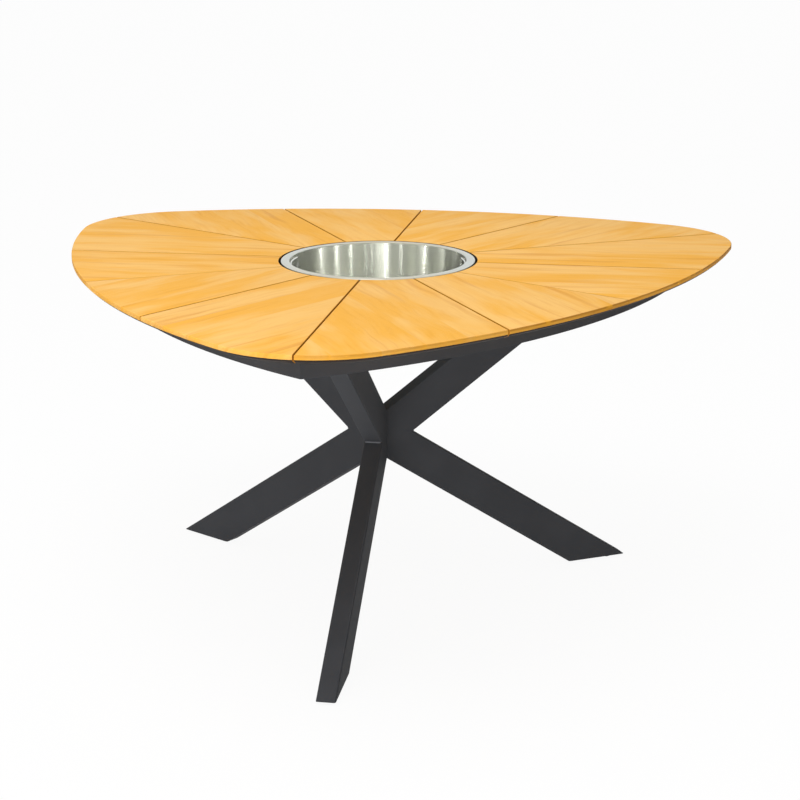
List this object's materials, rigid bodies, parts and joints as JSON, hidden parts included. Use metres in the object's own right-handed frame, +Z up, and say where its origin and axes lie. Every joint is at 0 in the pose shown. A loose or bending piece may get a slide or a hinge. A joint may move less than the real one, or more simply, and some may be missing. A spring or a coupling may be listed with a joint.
{
  "type": "garden table",
  "caption": "Three-cornered garden table with teak wedge panels on a welded anthracite steel base and a lift-out round stainless steel bowl in the middle.",
  "frame": {"origin": "on the floor, on the vertical axis through the middle of the top and the bowl", "axes": "+Z up; one corner of the top, one arm and one leg point along -Y, the other two corners at 30 degrees and 150 degrees from +X"},
  "size_m": [1.4914, 1.45, 0.75],
  "materials": {
    "teak": "oiled teak, satin, grain along each panel",
    "anthracite_coat": "fine-textured anthracite powder coat, low sheen",
    "brushed_stainless": "brushed round the bowl",
    "polished_stainless": "fine satin, bright",
    "zinc_plated_steel": "zinc plated, dull",
    "seat_rubber": "matt black",
    "glide_plastic": "matt black"
  },
  "bodies": {
    "table": {"panel_01": "teak", "panel_02": "teak", "panel_03": "teak", "panel_04": "teak", "panel_05": "teak", "panel_06": "teak", "panel_07": "teak", "panel_08": "teak", "panel_09": "teak", "panel_10": "teak", "panel_11": "teak", "panel_12": "teak", "corner_bearer_front": "anthracite_coat", "corner_bearer_right": "anthracite_coat", "corner_bearer_left": "anthracite_coat", "seam_bearer_02": "anthracite_coat", "seam_bearer_03": "anthracite_coat", "seam_bearer_04": "anthracite_coat", "seam_bearer_06": "anthracite_coat", "seam_bearer_07": "anthracite_coat", "seam_bearer_08": "anthracite_coat", "seam_bearer_10": "anthracite_coat", "seam_bearer_11": "anthracite_coat", "seam_bearer_12": "anthracite_coat", "apron_right": "anthracite_coat", "apron_rear": "anthracite_coat", "apron_left": "anthracite_coat", "well_ring": "anthracite_coat", "bowl_seat": "seat_rubber", "panel_screws": "zinc_plated_steel", "arm_front": "anthracite_coat", "arm_right": "anthracite_coat", "arm_left": "anthracite_coat", "leg_front": "anthracite_coat", "leg_right": "anthracite_coat", "leg_left": "anthracite_coat", "arm_plate_front": "anthracite_coat", "arm_plate_right": "anthracite_coat", "arm_plate_left": "anthracite_coat", "arm_bolts": "zinc_plated_steel", "arm_washers": "zinc_plated_steel", "arm_nuts": "zinc_plated_steel", "foot_plate_front": "anthracite_coat", "foot_plate_right": "anthracite_coat", "foot_plate_left": "anthracite_coat", "foot_nuts": "zinc_plated_steel"},
    "bowl": {"bowl_drum": "brushed_stainless", "bowl_rim": "polished_stainless", "handle_lugs": "brushed_stainless"},
    "handle_right": {"handle_right": "brushed_stainless"},
    "handle_left": {"handle_left": "brushed_stainless"},
    "glide_front": {"glide_stud_front": "zinc_plated_steel", "glide_pad_front": "glide_plastic"},
    "glide_right": {"glide_stud_right": "zinc_plated_steel", "glide_pad_right": "glide_plastic"},
    "glide_left": {"glide_stud_left": "zinc_plated_steel", "glide_pad_left": "glide_plastic"}
  },
  "joints": [
    {"name": "bowl_lift", "type": "slide", "parent": "table", "child": "bowl", "axis": [0, 0, 1], "range_m": [0, 0.2]},
    {"name": "handle_right_swing", "type": "hinge", "parent": "bowl", "child": "handle_right", "pos_m": [0.17515, 0.02306, 0.724], "axis": [0.1305, -0.9914, 0], "range_deg": [0, 80]},
    {"name": "handle_left_swing", "type": "hinge", "parent": "bowl", "child": "handle_left", "pos_m": [-0.17515, -0.02306, 0.724], "axis": [-0.1305, 0.9914, 0], "range_deg": [0, 80]},
    {"name": "glide_front_screw", "type": "slide", "parent": "table", "child": "glide_front", "axis": [0, 0, -1], "range_m": [0, 0.008]},
    {"name": "glide_right_screw", "type": "slide", "parent": "table", "child": "glide_right", "axis": [0, 0, -1], "range_m": [0, 0.008]},
    {"name": "glide_left_screw", "type": "slide", "parent": "table", "child": "glide_left", "axis": [0, 0, -1], "range_m": [0, 0.008]}
  ]
}
